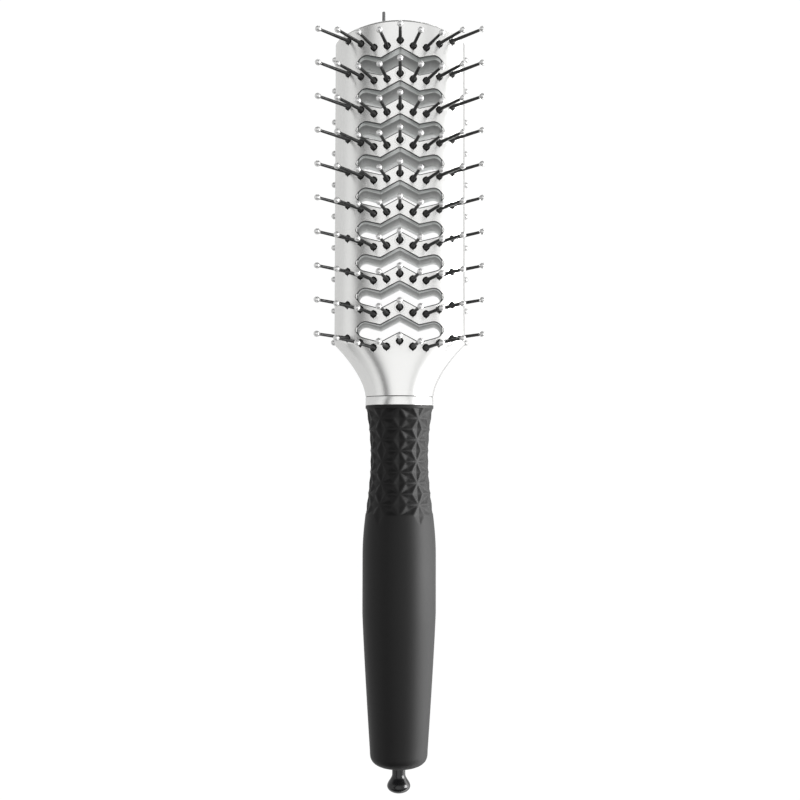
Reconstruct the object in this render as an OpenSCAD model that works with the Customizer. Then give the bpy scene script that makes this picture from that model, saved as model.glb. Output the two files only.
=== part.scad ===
// Vent brush. A flattened tube of a head, with zigzag vents right through it and rows of
// ball tipped nylon pins on both faces, sits on a round handle. A sectioning pick is kept
// in the handle's end and pulls out by its knob.
// The handle's axis is Y, with the head towards +Y and the long pins towards +Z. The origin
// is the middle of the handle's widest stretch. Lengths are in millimetres, angles in degrees.

/* [Head] */
// Width across the head
head_w = 38.1; // [36:0.1:42]
// Thickness from the front crown to the back crown
head_t = 20.6; // [19.6:0.1:24]
// Length of the two shells, from the collar to the middle of the head's end
head_len = 110.3; // [104:0.1:122]
// Radius of the head's end, seen from the front
end_r = 50.6; // [40:0.1:80]
// Wall of the two shells
shell_wall = 1.5; // [1.2:0.05:1.8]
// Length of the flare between the neck and the straight part
flare_len = 15.6; // [13:0.1:17]
// Shape of the flare, where 1 is a straight cone and more is hollower
flare_power = 1.62; // [1.3:0.01:2.2]
// Length of the solid seat that the shells close around the tang
neck_seat = 3.2; // [2:0.1:5]

/* [Vents] */
// Height of the bridge between two vents, which carries a row of pins
bridge_h = 4.944; // [4.6:0.001:5.6]
// Distance from the centre line to a vent's inner valleys
valley_x = 5.65; // [5:0.05:6.4]
// How far the valleys lie below the vent's peak
valley_drop = 3.0; // [2:0.05:3.4]
// Distance from the centre line to the middle of a vent's round end
lobe_x = 9.9; // [9:0.05:10.4]
// How far the round end's radius is under half a vent's height
lobe_pinch = 0.075; // [0:0.005:0.2]
// How far the middle of the round end lies below the vent's peak
lobe_drop = 4.3; // [4:0.05:4.6]
// Distance from a row of pins down to the peak of the vent under it
row_to_vent = 2.2; // [2:0.05:2.6]
// Wall that lines each vent inside the shells
vent_wall = 0.7; // [0.5:0.05:0.9]
// Half the thickness of the core plate between the shells
core_half = 3.4; // [2.4:0.1:4.4]

/* [Pins] */
// Number of rows on each face
row_count = 10; // [8:1:12]
// Number of pins on each side of the centre one
side_pins = 4; // [2:1:4]
// Distance from the middle of the head's end to the first row
end_to_row = 6.2; // [5:0.1:8]
// Distance from the flare to the last row
flare_to_row = 0.35; // [0:0.05:2]
// Distance between two pins across the head
pin_pitch = 3.84; // [3.5:0.01:4]
// How far each root lies towards the handle, from the centre pin outwards
root_drops = [0, 1.6, 1.9, 0.4, -1.1]; // [-2:0.1:2]
// Length of a front pin, from the shell to the middle of its ball
front_pin_len = 12.3; // [9:0.1:15]
// Length of a back pin, from the shell to the middle of its ball
back_pin_len = 7.3; // [5:0.1:12]
// Angle of the outermost pins from the centre ones
fan_angle = 42.5; // [30:0.5:50]
// Lean of the pins towards the head's end
pin_lean = 1.9; // [0:0.1:6]
// Radius of a pin where it leaves its root
pin_root_r = 0.52; // [0.4:0.01:0.65]
// Radius of a pin at its ball
pin_tip_r = 0.42; // [0.3:0.01:0.5]
// Radius of a ball tip
ball_r = 0.92; // [0.75:0.01:1.2]
// Radius of the round root that fills the shell's hole
root_r = 0.86; // [0.7:0.01:0.95]
// Depth of the root's face below the shell's surface
root_sink = 0.3; // [0.1:0.05:0.6]
// Width of the strip that carries a row of pins
strip_w = 1.7; // [1.4:0.05:2]
// Thickness of that strip
strip_t = 1.2; // [0.8:0.05:1.5]

/* [Neck and tang] */
// Radius of the neck, and of the collar
neck_r = 10.1; // [9:0.05:11]
// Length of the collar
collar_len = 2.5; // [1.5:0.1:5]
// Radius of the core's tang
tang_r = 4.5; // [3:0.1:6]
// Length of the tang inside the handle
tang_len = 24; // [12:0.5:28]
// Distance from the collar to the start of the core plate
plate_start = 9; // [7:0.5:11]

/* [Handle] */
// Length of the handle
handle_len = 106.2; // [101:0.1:125]
// Distance from the handle's front face to its waist
waist_at = 15.5; // [12:0.5:20]
// Radius at the waist
waist_r = 8.6; // [7.5:0.05:9.5]
// Distance from the front face to the start of the widest stretch
wide_at = 44; // [40:0.5:50]
// Length of the widest stretch, which is a true cylinder
wide_len = 17; // [12:0.5:22]
// Radius of the widest stretch
wide_r = 10.85; // [10:0.05:12.5]
// Radius where the rounded end begins
tail_r = 8.5; // [7.5:0.05:9.5]
// Length of the rounded end
dome_len = 4.7; // [3:0.1:7]

/* [Relief grip] */
// Number of columns of stars around the grip
star_columns = 10; // [8:2:12]
// Distance between two stars along a column
star_pitch = 6.25; // [5.5:0.05:7]
// Distance from the front face to the first star of the front column
first_star = 0.85; // [0.5:0.05:2]
// Number of stars in a column
star_rows = 5; // [3:1:5]
// Depth of the hollows between the ridges
hollow_depth = 0.5; // [0.2:0.05:0.7]
// Part of a hollow's outline that is left after the ridges, from its middle
hollow_share = 0.92; // [0.8:0.01:0.96]

/* [Sectioning pick] */
// Length of solid handle between the tang's socket and the pick's point
pick_web = 8.2; // [6:0.1:20]
// Radius of the shaft
pick_r = 1.4; // [1:0.05:1.7]
// Length of the shaft's tapered point
pick_point = 14; // [8:0.5:20]
// Radius of the knob's neck
knob_neck_r = 1.95; // [1.8:0.05:2.4]
// Length of the knob's neck outside the handle
knob_neck_len = 2.0; // [1:0.1:4]
// Largest radius of the knob
knob_r = 3.42; // [2.8:0.02:4.2]
// Depth of the seat for the knob's neck in the handle's end
knob_seat = 0.4; // [0.2:0.1:1]
// Length of the knob, without its neck
knob_len = 5.5; // [4:0.1:8]

/* [End stub] */
// Radius of the plain nylon stub in the head's end
stub_r = 0.5; // [0.4:0.05:0.7]
// Length of the stub outside the head
stub_out = 4.2; // [2:0.1:6]
// Distance of the stub to the left of the centre line
stub_left = 4.9; // [3:0.1:7]
// Height of the stub above the parting plane
stub_up = 5.4; // [5:0.1:6.5]

/* [Clearances] */
// Gap between pieces that are seated on each other
seat_gap = 0.05; // [0.03:0.01:0.1]
// Gap between a strip of pins and the shell over it
strip_gap = 0.2; // [0.15:0.01:0.3]
// Gap around a pin's root in the shell's hole
root_gap = 0.1; // [0.05:0.01:0.15]
// Radial running clearance of the pick in its bore
pick_gap = 0.05; // [0.02:0.01:0.09]
// Gap around the knob's neck in its seat
knob_seat_gap = 0.25; // [0.1:0.01:0.4]
// Gap of the seam between the shells and the collar
seam_gap = 0.12; // [0.05:0.01:0.2]

/* [Hidden] */
$fn = 64;
pin_fn = 32;
// Points around the head's section, and steps along its flare
ring_n = 64;
flare_n = 10;
// Part of the knob's length that the bell takes, before its rounded cap
bell_share = 0.62;
// Exponent of the fan, which opens a little faster than evenly
fan_power = 1.09;
// Exponent of the handle's rounded end
dome_power = 3;
// Exponent of the handle's taper behind its widest stretch
taper_power = 1.15;
// Steps of each curved stretch of the handle's outline
outline_n = 10;
// Slack by which a cutting form passes the solid it cuts
over = 1;
// Slope allowance of a vent's wall on its slanting sides
slant = 1.13;
// The strip lies a little nearer the centre line than the roots, as the pins splay
band_share = 0.96;
// Parts of a column at which the corners of the hollows lie
half = 1 / 2;
third = 1 / 3;

// Places along Y, from the origin in the middle of the widest stretch
neck_y = wide_at + wide_len / 2;
collar_y = neck_y + collar_len;
end_y = collar_y + head_len;
first_row_y = end_y - end_to_row;
last_row_y = collar_y + flare_len + flare_to_row;
row_pitch = (first_row_y - last_row_y) / (row_count - 1);
vent_h = row_pitch - bridge_h;
bore_r = pick_r + pick_gap;
pick_len = handle_len - tang_len - pick_web;
lobe_r = vent_h / 2 - lobe_pinch;
knob_seat_r = knob_neck_r + knob_seat_gap;
fade_from = first_star + star_pitch * (star_rows - 1);

silver = [0.80, 0.80, 0.79];
core_grey = [0.42, 0.43, 0.42];
charcoal = [0.10, 0.10, 0.11];
soft_black = [0.13, 0.13, 0.135];
gloss_black = [0.05, 0.05, 0.055];
pearl = [0.78, 0.78, 0.77];

// Half width and half thickness of the head at a distance y from the collar
function flare_share(y) = min(max(y / flare_len, 0), 1);
function half_w(y) = neck_r + (head_w / 2 - neck_r) * pow(flare_share(y), flare_power);
function half_t(y) = neck_r + (head_t / 2 - neck_r) * flare_share(y);
function crown_z(x) = head_t / 2 * sqrt(1 - pow(x / (head_w / 2), 2));

// Place, fan angle and height of a pin's root, where side runs from -side_pins to side_pins
function row_y(row) = first_row_y - (row - 1) * row_pitch;
function root_x(side) = side * pin_pitch;
function fan(side) = sign(side) * fan_angle * pow(abs(side) / 4, fan_power);

// Radius of the handle at a distance s from its front face
function waist_share(s) = (s - waist_at) / (wide_at - waist_at);
tail_at = handle_len - dome_len;
wide_end = wide_at + wide_len;
function taper_share(s) = pow((s - wide_end) / (tail_at - wide_end), taper_power);
function dome_share(s) =
    pow(max(1 - pow((s - tail_at) / dome_len, dome_power), 0), 1 / dome_power);
function handle_r(s) =
    s < waist_at ? waist_r + (neck_r - waist_r) * pow(1 - s / waist_at, 2) :
    s < wide_at ? waist_r + (wide_r - waist_r) * (1 - cos(180 * waist_share(s))) / 2 :
    s <= wide_end ? wide_r :
    s < tail_at ? wide_r - (wide_r - tail_r) * taper_share(s) :
    tail_r * dome_share(s);

// A closed skin over rings of equal counts of points, from the lowest ring to the highest
module skin(rings) {
    n = len(rings[0]);
    top = (len(rings) - 1) * n;
    sides = [for (k = [0 : len(rings) - 2], i = [0 : n - 1], t = [0, 1])
        t == 0 ? [k * n + i, (k + 1) * n + i, (k + 1) * n + (i + 1) % n]
               : [k * n + i, (k + 1) * n + (i + 1) % n, k * n + (i + 1) % n]];
    low_cap = [[for (i = [0 : n - 1]) i]];
    high_cap = [[for (i = [0 : n - 1]) top + n - 1 - i]];
    polyhedron(points = [for (ring = rings) each ring], faces = concat(low_cap, sides, high_cap));
}

// The head's form, a given depth under its surface, from a distance above the collar
module head_form(depth, from) {
    steps = [for (k = [0 : flare_n]) from + (flare_len - from) * k / flare_n];
    ends = [each steps, head_len + over];
    skin([for (y = ends) [for (i = [0 : ring_n - 1])
        [(half_w(y) - depth) * cos(-360 * i / ring_n), collar_y + y,
         (half_t(y) - depth) * sin(-360 * i / ring_n)]]]);
}

// What lies inside the arc of the head's end, seen from the front
module end_plan(depth) {
    arc_y = end_y - end_r;
    linear_extrude(2 * head_t, center = true) {
        translate([0, arc_y]) circle(end_r - depth, $fn = 180);
        translate([-head_w, arc_y - head_len]) square([2 * head_w, head_len]);
    }
}

// Half of space on one side of a level, where face is 1 for the front and -1 for the back
module half_space(face, level) {
    size = 4 * head_len;
    translate([0, 0, face * (level + size / 2)]) cube(size, center = true);
}

// A vent's outline with its peak at the origin, grown by a wall
module vent_outline(grow) {
    top = [[-lobe_x, lobe_r - lobe_drop + grow], [-valley_x, slant * grow - valley_drop],
           [0, slant * grow], [valley_x, slant * grow - valley_drop],
           [lobe_x, lobe_r - lobe_drop + grow]];
    low = [[lobe_x, -lobe_r - lobe_drop - grow],
           [valley_x, -valley_drop - vent_h - slant * grow], [0, -vent_h - slant * grow],
           [-valley_x, -valley_drop - vent_h - slant * grow],
           [-lobe_x, -lobe_r - lobe_drop - grow]];
    polygon(concat(top, low));
    for (side = [-1, 1]) translate([side * lobe_x, -lobe_drop]) circle(lobe_r + grow);
}

// All the vents as upright prisms between two heights
module vents(grow, low, high) {
    for (row = [1 : row_count - 1])
        translate([0, row_y(row) - row_to_vent, low])
            linear_extrude(high - low) vent_outline(grow);
}

// Puts its children on a pin's root, with their Z along the pin
module at_root(row, side) {
    x = root_x(side);
    translate([x, row_y(row) - root_drops[abs(side)], crown_z(x)])
        rotate([-pin_lean, fan(side), 0]) children();
}

// One pin from inside its strip to the middle of its ball
module pin_stem(pin_len) {
    foot = shell_wall + strip_t / 2;
    translate([0, 0, -foot])
        cylinder(h = foot + pin_len, r1 = pin_root_r, r2 = pin_tip_r, $fn = pin_fn);
}

module pin_root(grow, top) {
    foot = shell_wall + strip_t / 2;
    translate([0, 0, -foot]) cylinder(h = foot + top, r = root_r + grow, $fn = pin_fn);
}

// The zigzag band that a row of pins stands on, seen from the front
module row_band(row, width) {
    last = 2 * side_pins;
    spots = [for (side = [-side_pins : side_pins])
        [root_x(side) * band_share, row_y(row) - root_drops[abs(side)]]];
    reach = [for (i = [0 : last]) i == 0 ? -width / 2 : i == last ? width / 2 : 0];
    polygon(concat(
        [for (i = [0 : last]) spots[i] + [reach[i], width / 2]],
        [for (i = [last : -1 : 0]) spots[i] + [reach[i], -width / 2]]
    ));
}

// A straight bar with the head's section, a given depth under its surface
module section_bar(depth) {
    translate([0, collar_y, 0]) rotate([-90, 0, 0]) linear_extrude(head_len)
        polygon([for (i = [0 : ring_n - 1])
            [(head_w / 2 - depth) * cos(360 * i / ring_n),
             (head_t / 2 - depth) * sin(360 * i / ring_n)]]);
}

// A strip with its pins on the front, as long as the given pins
module pin_row(row, pin_len) {
    difference() {
        intersection() {
            difference() {
                section_bar(shell_wall + strip_gap);
                section_bar(shell_wall + strip_gap + strip_t);
            }
            linear_extrude(head_t) row_band(row, strip_w);
        }
        vents(vent_wall + seat_gap, 0, head_t);
    }
    for (side = [-side_pins : side_pins]) at_root(row, side) {
        pin_root(0, -root_sink);
        pin_stem(pin_len);
    }
}

// The ball tips of one face
module ball_tips(pin_len) {
    for (row = [1 : row_count], side = [-side_pins : side_pins])
        at_root(row, side) difference() {
            translate([0, 0, pin_len]) sphere(ball_r, $fn = pin_fn);
            pin_stem(pin_len);
        }
}

// Half of the head's skin, with the walls that line its vents and the holes for its pins
module shell(face) {
    mirror([0, 0, face < 0 ? 1 : 0]) difference() {
        intersection() {
            head_form(0, seam_gap);
            end_plan(0);
            half_space(1, 0);
        }
        difference() {
            intersection() {
                head_form(shell_wall, neck_seat);
                end_plan(shell_wall);
            }
            vents(vent_wall, core_half + seat_gap, head_t);
        }
        vents(0, -over, head_t);
        rotate([-90, 0, 0]) cylinder(r = tang_r + seat_gap, h = collar_y + plate_start);
        for (row = [1 : row_count], side = [-side_pins : side_pins])
            at_root(row, side) pin_root(root_gap, over);
        if (face > 0) stub(seat_gap);
    }
}

module front_shell() {
    color(silver) shell(1);
}

module back_shell() {
    color(silver) shell(-1);
}

// The core: a plate between the shells, with a rib under each strip and a tang for the handle
module core_frame() {
    inset = shell_wall + strip_gap + strip_t + seat_gap;
    color(core_grey) {
        difference() {
            intersection() {
                head_form(inset, plate_start);
                end_plan(inset);
                union() {
                    cube([2 * head_w, 4 * head_len, 2 * core_half], center = true);
                    for (row = [1 : row_count])
                        linear_extrude(head_t, center = true)
                            row_band(row, strip_w - 4 * seat_gap);
                }
            }
            vents(0, -core_half - over, core_half + over);
            for (face = [0, 1]) mirror([0, 0, face])
                vents(vent_wall + seat_gap, core_half, head_t);
        }
        translate([0, neck_y - tang_len, 0]) rotate([-90, 0, 0])
            cylinder(r = tang_r, h = tang_len + collar_len + plate_start + over);
    }
}

module neck_collar() {
    color(silver) translate([0, neck_y, 0]) rotate([-90, 0, 0]) difference() {
        cylinder(r = neck_r, h = collar_len);
        translate([0, 0, -over]) cylinder(r = tang_r + seat_gap, h = collar_len + 2 * over);
    }
}

// The handle's outline, from its front face along the axis to the middle of its end
module handle_outline() {
    stops = concat(
        [for (k = [0 : outline_n]) waist_at * k / outline_n],
        [for (k = [1 : outline_n]) waist_at + (wide_at - waist_at) * k / outline_n],
        [for (k = [0 : outline_n]) wide_end + (tail_at - wide_end) * k / outline_n],
        [for (k = [1 : outline_n]) tail_at + dome_len * sin(90 * k / outline_n)]
    );
    polygon(concat([[0, 0]], [for (s = stops) [handle_r(s), s]]));
}

// A point on the relief grip, where turn is counted in columns of stars
function grip_point(turn, s, rise) = [
    (handle_r(s) + rise) * sin(360 * turn / star_columns), s,
    (handle_r(s) + rise) * cos(360 * turn / star_columns)
];
function hollow_fade(s) = s < fade_from ? 1 : 0.55;

// One rhombic hollow around its middle, given by its four corners
module hollow(corners) {
    mid = (corners[0] + corners[1] + corners[2] + corners[3]) / 4;
    rim = [for (corner = corners) mid + (corner - mid) * hollow_share];
    points = concat(
        [for (spot = rim) grip_point(spot[0], spot[1], 0)],
        [grip_point(mid[0], mid[1], -hollow_depth * hollow_fade(mid[1])),
         grip_point(mid[0], mid[1], 2 * hollow_depth)]
    );
    faces = [for (i = [0 : 3]) each [[i, (i + 1) % 4, 4], [(i + 1) % 4, i, 5]]];
    polyhedron(points = points, faces = faces);
}

// The three hollows that belong to a star: one below it and one on each side of that
module star_hollows(turn, s) {
    low = s + star_pitch;
    mid = s + star_pitch / 2;
    hollow([[turn, s], [turn + third, mid], [turn, low], [turn - third, mid]]);
    hollow([[turn, s], [turn + 2 * third, s], [turn + 1, mid], [turn + third, mid]]);
    hollow([[turn, s], [turn - third, mid], [turn - 1, mid], [turn - 2 * third, s]]);
}

module handle() {
    color(soft_black) difference() {
        translate([0, neck_y, 0]) rotate([90, 0, 0]) rotate_extrude() handle_outline();
        for (column = [0 : star_columns - 1], star = [0 : star_rows - 1])
            translate([0, neck_y, 0]) mirror([0, 1, 0])
                star_hollows(column, first_star + (star + (column % 2) * half) * star_pitch);
        translate([0, neck_y - tang_len - seat_gap, 0]) rotate([-90, 0, 0])
            cylinder(r = tang_r + seat_gap, h = tang_len + over);
        translate([0, neck_y - handle_len - over, 0]) rotate([-90, 0, 0])
            cylinder(r = bore_r, h = pick_len + over + pick_gap);
        translate([0, neck_y - handle_len - over, 0]) rotate([-90, 0, 0])
            cylinder(r = knob_seat_r, h = knob_seat + over);
    }
}

// The pick is one moulding: a pointed shaft and a bell shaped knob
module sectioning_pick() {
    seat = handle_len - knob_seat + pick_gap;
    point_at = handle_len - pick_len;
    bell_at = handle_len + knob_neck_len;
    cap_at = bell_at + knob_len * bell_share;
    cap_len = knob_len * (1 - bell_share);
    bell = [for (k = [0 : outline_n])
        [knob_neck_r + (knob_r - knob_neck_r) * pow(sin(90 * k / outline_n), 2),
         bell_at + (cap_at - bell_at) * k / outline_n]];
    cap = [for (k = [1 : outline_n])
        [knob_r * cos(90 * k / outline_n), cap_at + cap_len * sin(90 * k / outline_n)]];
    color(gloss_black) translate([0, neck_y, 0]) rotate([90, 0, 0]) rotate_extrude()
        polygon(concat(
            [[0, point_at], [pick_r / 3, point_at], [pick_r, point_at + pick_point],
             [pick_r, seat], [knob_neck_r, seat]],
            bell, cap
        ));
}

// The plain stub in the end wall of the front shell
module stub(grow) {
    arc_y = end_y - end_r + sqrt(end_r * end_r - stub_left * stub_left);
    translate([-stub_left, arc_y - shell_wall, stub_up]) rotate([-90, 0, 0])
        cylinder(r = stub_r + grow, h = shell_wall + stub_out, $fn = pin_fn);
}

module end_stub() {
    color(charcoal) stub(0);
}

module front_ball_tips() {
    color(pearl) ball_tips(front_pin_len);
}

module back_ball_tips() {
    color(pearl) mirror([0, 0, 1]) ball_tips(back_pin_len);
}

module front_pin_row(row) {
    color(charcoal) pin_row(row, front_pin_len);
}

module back_pin_row(row) {
    color(charcoal) mirror([0, 0, 1]) pin_row(row, back_pin_len);
}

front_shell();
back_shell();
core_frame();
neck_collar();
handle();
sectioning_pick();
end_stub();
front_ball_tips();
back_ball_tips();
for (row = [1 : row_count]) {
    front_pin_row(row);
    back_pin_row(row);
}
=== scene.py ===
import math

import bmesh
import bpy
from mathutils import Matrix, Vector


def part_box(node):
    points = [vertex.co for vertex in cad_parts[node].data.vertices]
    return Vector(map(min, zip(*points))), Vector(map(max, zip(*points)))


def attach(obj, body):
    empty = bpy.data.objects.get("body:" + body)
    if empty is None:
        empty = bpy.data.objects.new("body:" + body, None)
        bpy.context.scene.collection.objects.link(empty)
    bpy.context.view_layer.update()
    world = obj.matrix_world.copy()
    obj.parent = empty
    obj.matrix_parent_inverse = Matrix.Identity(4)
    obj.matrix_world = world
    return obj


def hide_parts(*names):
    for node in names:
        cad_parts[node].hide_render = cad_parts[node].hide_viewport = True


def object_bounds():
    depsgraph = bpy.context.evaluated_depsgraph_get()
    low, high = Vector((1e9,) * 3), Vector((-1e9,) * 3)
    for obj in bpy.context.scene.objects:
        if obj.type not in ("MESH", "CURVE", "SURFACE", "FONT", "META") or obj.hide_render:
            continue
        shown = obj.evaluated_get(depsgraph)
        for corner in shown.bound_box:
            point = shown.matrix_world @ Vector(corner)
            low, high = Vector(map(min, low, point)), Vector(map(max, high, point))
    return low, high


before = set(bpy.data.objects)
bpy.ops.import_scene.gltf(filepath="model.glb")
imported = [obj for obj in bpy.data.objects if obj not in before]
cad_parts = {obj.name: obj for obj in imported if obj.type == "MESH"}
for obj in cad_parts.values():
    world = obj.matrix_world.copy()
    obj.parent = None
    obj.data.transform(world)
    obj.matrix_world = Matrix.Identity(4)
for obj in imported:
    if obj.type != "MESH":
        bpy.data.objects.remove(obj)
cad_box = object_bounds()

# The head's two shells are the halves of a flattened tube, moulded in plastic, painted a satin
# silver and joined along the sides and on the neck. Nine zigzag vents go right through, with
# walls that reach down to the core, and every pin has its own pointed hole.
MM = 0.001


def corners(node):
    """The lowest and the highest corner of a part of the frame, in millimetres."""
    low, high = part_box(node)
    return [size / MM for size in low], [size / MM for size in high]


shell_low, shell_high = corners("front_shell")
collar_low, collar_high = corners("neck_collar")
# How far the skin stands out at each side beyond the frame's plainer shell
SKIN_OVER = 0.38
HALF_W = shell_high[0] + SKIN_OVER
HALF_T = shell_high[2]
NECK_R = collar_high[0]
SEAM_Y = shell_low[1]
COLLAR_Y = collar_high[1]
END_Y = shell_high[1]
SIDE = HALF_W * math.pi / 2
FLARE_LEN = 15.6
FLARE_POWER = 1.62
END_R = 50.6
WALL = 1.5
# Roundings: the parting edges and the neck, the head's end, the vents and the pin holes
SIDE_LIP = 0.07
END_LIP = 0.7
VENT_LIP = 0.28
HOLE_LIP = 0.1
# Walls that line the vents, the height at which they meet the core, and the unpainted grey band
# above it, in the core's finish with its painted shade and light
VENT_WALL = 0.45
TUBE_LEVEL = 3.45
TUBE_JOINT = 1.9
# Cuts that let the flat skin bend, and the distances within which corners are one
CUTS_ACROSS = 48
CUTS_IN_FLARE = 12
WELD = 1e-4
LEVEL_PLAY = 1e-3


def flare_share(y):
    """How far a place is up the flare, from 0 at the neck to 1 at the head."""
    return min(max((y - COLLAR_Y) / FLARE_LEN, 0), 1)


def half_w(y):
    return NECK_R + (HALF_W - NECK_R) * flare_share(y) ** FLARE_POWER


def half_t(y):
    return NECK_R + (HALF_T - NECK_R) * flare_share(y)


def skin_point(across, y, depth=0.0):
    """A point of the head's front, where across is measured round the skin from its crown."""
    turn = across / HALF_W
    return Vector(((half_w(y) - depth) * math.sin(turn), y, (half_t(y) - depth) * math.cos(turn)))


def skin_normal(across, y, reach=0.02):
    over = skin_point(across + reach, y) - skin_point(across - reach, y)
    along = skin_point(across, y + reach) - skin_point(across, y - reach)
    return over.cross(along).normalized()


def unrolled(x, y, depth=0.0):
    """How far round the skin from its crown a place seen from the front lies."""
    return HALF_W * math.asin(max(-1, min(1, x / (half_w(y) - depth))))


def end_edge(across, inset=0.0):
    """Where the head ends, which is an arc seen from the front."""
    x = (HALF_W - inset) * math.sin(across / HALF_W)
    return END_Y - END_R + math.sqrt((END_R - inset) ** 2 - x * x)


# Rows of pins, and the places of their nine roots
ROWS = 10
SIDES = range(-4, 5)
END_TO_ROW = 6.2
PIN_PITCH = 3.84
ROOT_DROPS = (0, 1.6, 1.9, 0.4, -1.1)
FIRST_ROW_Y = END_Y - END_TO_ROW
ROW_PITCH = corners("front_pin_row_2")[0][1] - corners("front_pin_row_3")[0][1]


def row_y(row):
    return FIRST_ROW_Y - (row - 1) * ROW_PITCH


def root_place(row, side):
    """Where a pin's root is seen from the front. Its side counts from the middle pin."""
    return side * PIN_PITCH, row_y(row) - ROOT_DROPS[abs(side)]


# A pin's hole is round with three small points, and a longer one towards the handle
HOLE_ROUND = 1.04
HOLE_POINT = 0.12
HOLE_TAIL = 0.4
POINT_SPREAD = math.radians(13)
HOLE_INSIDE = 0.8
HOLE_TILTS = (0, 45, 90)
HOLE_TURNS = [
    math.radians(quarter + turn) for quarter in (0, 90, 180, 270)
    for turn in (0, 11, 24, 38, 52, 66, 79)
]


def pin_hole(turn):
    """The hole's radius at a turn, which runs out to a point at each quarter."""
    off = abs((turn + math.pi / 4) % (math.pi / 2) - math.pi / 4)
    reach = HOLE_TAIL if math.sin(turn) < -math.cos(POINT_SPREAD) else HOLE_POINT
    return HOLE_ROUND + reach * max(0, 1 - off / POINT_SPREAD)


def hole_ring(row, side, radius, depth):
    """The outline of a pin's hole on the unrolled skin. Its radius depends on the turn."""
    x, y = root_place(row, side)
    slope = skin_normal(unrolled(x, y), y).z
    ring = []
    for turn in HOLE_TURNS:
        edge_x = x + radius(turn) * math.cos(turn) * slope
        edge_y = y + radius(turn) * math.sin(turn)
        ring.append(Vector((unrolled(edge_x, edge_y), edge_y, -depth)))
    return ring


# Faint rings round some of the middle roots, left by the moulding's posts
POST_ROWS = (2, 4, 7, 9)
POST_STEPS = ((1.58, 0.0), (1.52, 0.04), (1.46, 0.0))


def lip_step(lip, tilt):
    """How far out and how deep an edge's rounding is, where it has turned by a tilt."""
    return lip * (1 - math.sin(math.radians(tilt))), lip * (1 - math.cos(math.radians(tilt)))


def hole_rings(row, side):
    """The rings of a pin's hole, from the skin down to the inside of the shell."""
    rings = []
    if side == 0 and row in POST_ROWS:
        for post_r, depth in POST_STEPS:
            rings.append(hole_ring(row, side, lambda turn: post_r, depth))
    for tilt in HOLE_TILTS:
        grow, depth = lip_step(HOLE_LIP, tilt)
        rings.append(hole_ring(row, side, lambda turn: pin_hole(turn) + grow, depth))
    rings.append(hole_ring(row, side, lambda turn: HOLE_INSIDE, WALL))
    return rings


# A vent's outline from its peak, anticlockwise, each corner with its rounding
ROW_TO_VENT = 2.2
VENT_HALF = (
    (0, -4.88, 0.3), (5.65, -7.88, 0.55), (12.25, -5.97, 2.2),
    (12.25, -1.40, 2.2), (5.65, -3.03, 0.55),
)
VENT_PEAK = (0, 0, 1.0)
ARC_STEPS = 6
LEAST_CORNER = 0.1
# A vent's lip is wider at its two lobes, and keeps the silver there at one of its tilts to catch
# the light; elsewhere the lip is painted dark as shade
LOBE_LIP = 2
LOBE_FACING = 1.5
VENT_TILTS = (0, 12, 45, 67.5, 90)
LIGHT_TILT = 45


def rounded(outline, grow):
    """Points of a closed outline with rounded corners, grown outwards, most at its two lobes."""
    path = []
    for number, (x, y, radius) in enumerate(outline):
        here = Vector((x, y))
        back = (Vector(outline[number - 1][:2]) - here).normalized()
        ahead = (Vector(outline[(number + 1) % len(outline)][:2]) - here).normalized()
        half = back.angle(ahead) / 2
        bend = back.x * ahead.y - back.y * ahead.x
        if bend > 0:
            radius = max(radius, grow + LEAST_CORNER)
        middle = here + (back + ahead).normalized() * radius / math.sin(half)
        spoke = (here + back * radius / math.tan(half) - middle).normalized()
        swing = (math.pi - 2 * half) * (1 if bend < 0 else -1)
        for step in range(ARC_STEPS + 1):
            turned_spoke = Matrix.Rotation(swing * step / ARC_STEPS, 2) @ spoke
            outward = turned_spoke if bend < 0 else -turned_spoke
            swell = 1 + LOBE_LIP * max(0, abs(outward.x) - abs(outward.y)) ** 2
            path.append(middle + turned_spoke * radius + outward * grow * swell)
    return path


def vent_ring(row, grow, depth):
    """A vent's outline on the unrolled skin, grown, at a depth under the skin."""
    half = list(VENT_HALF)
    mirrored = [(-x, y, radius) for x, y, radius in reversed(half) if x]
    ring = []
    for x, y in rounded(half + [VENT_PEAK] + mirrored, grow):
        y += row_y(row) - ROW_TO_VENT
        ring.append(Vector((unrolled(x, y, depth), y, -depth)))
    return ring


def border_ring(tilt, depth=None):
    """The edge of the unrolled skin: up to its rounding, part way round it, or at a depth."""
    across = [SIDE * (2 * step / CUTS_ACROSS - 1) for step in range(CUTS_ACROSS + 1)]
    inset = WALL if depth else 0
    near_end = end_edge(SIDE, inset) - 4 * END_LIP
    path = [(place, SEAM_Y, SIDE_LIP, SIDE_LIP) for place in across]
    path.append((SIDE, near_end, 0, SIDE_LIP))
    path += [(place, end_edge(place, inset), -END_LIP, END_LIP) for place in reversed(across)]
    path.append((-SIDE, near_end, 0, SIDE_LIP))
    share, sink = lip_step(1, tilt)
    ring = []
    for place, y, lift, lip in path:
        side_lift = SIDE_LIP * share if abs(place) > SIDE - SIDE_LIP else 0
        ring.append(Vector((
            place - math.copysign(side_lift, place), y + lift * share, -(depth or lip * sink))))
    return ring


def draw_loop(bm, points):
    """A closed loop of edges through points, as the list of its corners."""
    loop = [bm.verts.new(point) for point in points]
    for number, corner in enumerate(loop):
        bm.edges.new((loop[number - 1], corner))
    return loop


def loop_edges(bm, loop):
    return [bm.edges.get((loop[number - 1], corner)) for number, corner in enumerate(loop)]


def extrude(bm, edges):
    """Extrudes edges on the spot and tells for each old corner the new one that stands on it."""
    made = bmesh.ops.extrude_edge_only(bm, edges=edges)["geom"]
    new = {item for item in made if isinstance(item, bmesh.types.BMVert)}
    return {
        edge.other_vert(corner): corner
        for corner in new for edge in corner.link_edges if edge.other_vert(corner) not in new
    }


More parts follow.
